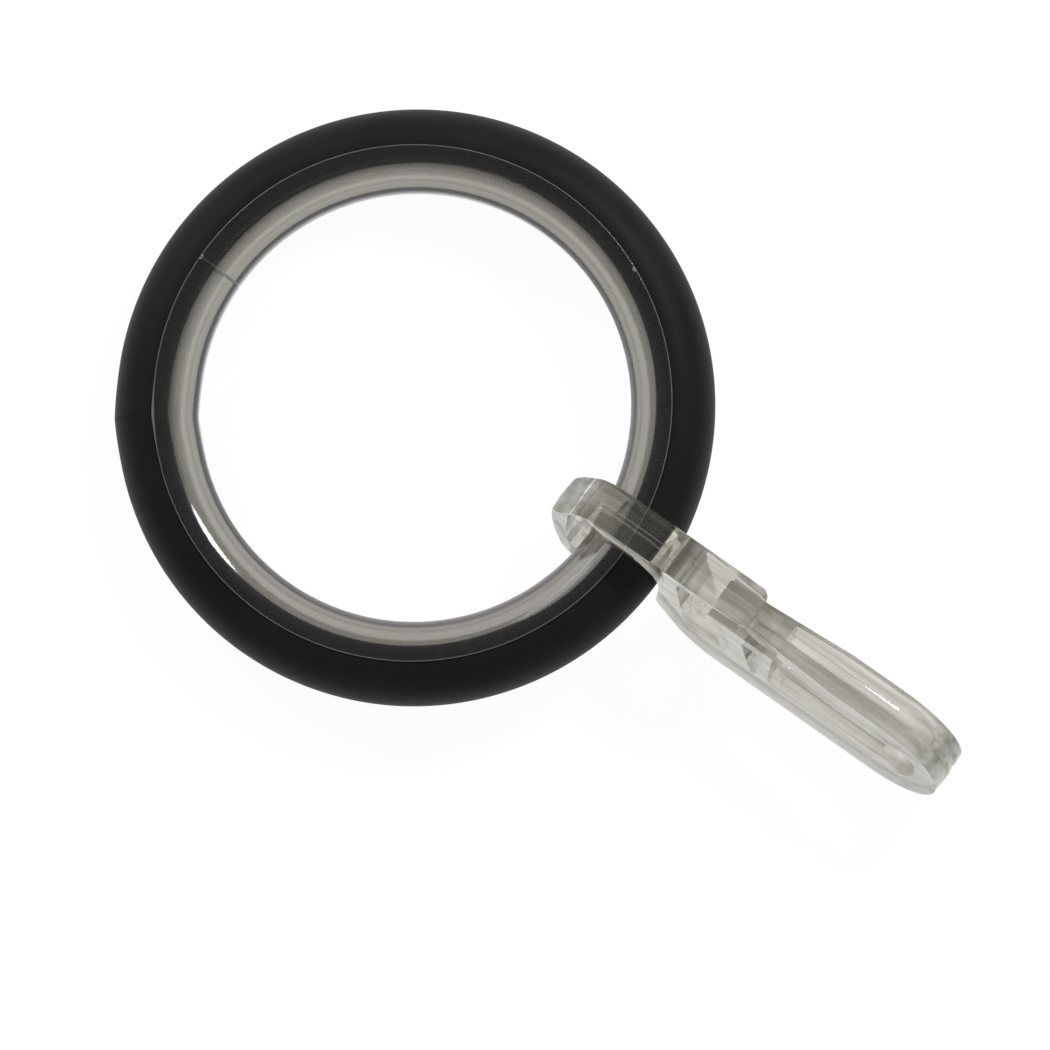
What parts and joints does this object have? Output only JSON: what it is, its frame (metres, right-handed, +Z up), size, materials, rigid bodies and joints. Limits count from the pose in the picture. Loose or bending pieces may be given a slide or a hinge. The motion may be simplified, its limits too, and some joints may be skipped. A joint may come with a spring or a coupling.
{
  "type": "curtain ring with clip",
  "caption": "Round curtain ring of rolled black metal with a clear glide liner and a hinged clear clip hook with a long latched loop for the curtain tape.",
  "frame": {"origin": "centre of the rod bore, in the middle of the ring's thickness", "axes": "+Z up from the table that the part lies on; +X along the clip, away from the ring"},
  "size_m": [0.0632, 0.04, 0.0121],
  "materials": {
    "black_coated_metal": "satin black powder coat",
    "clear_liner_plastic": "clear, slightly smoky",
    "clear_clip_plastic": "clear, slightly warm"
  },
  "bodies": {
    "ring": {"ring_shell": "black_coated_metal", "ring_liner": "clear_liner_plastic"},
    "clip": {"clip_hook": "clear_clip_plastic"}
  },
  "joints": [
    {"name": "clip_swing", "type": "hinge", "parent": "ring", "child": "clip", "pos_m": [0.01718, 0, 0.00134], "axis": [0, 1, 0], "continuous": true}
  ]
}
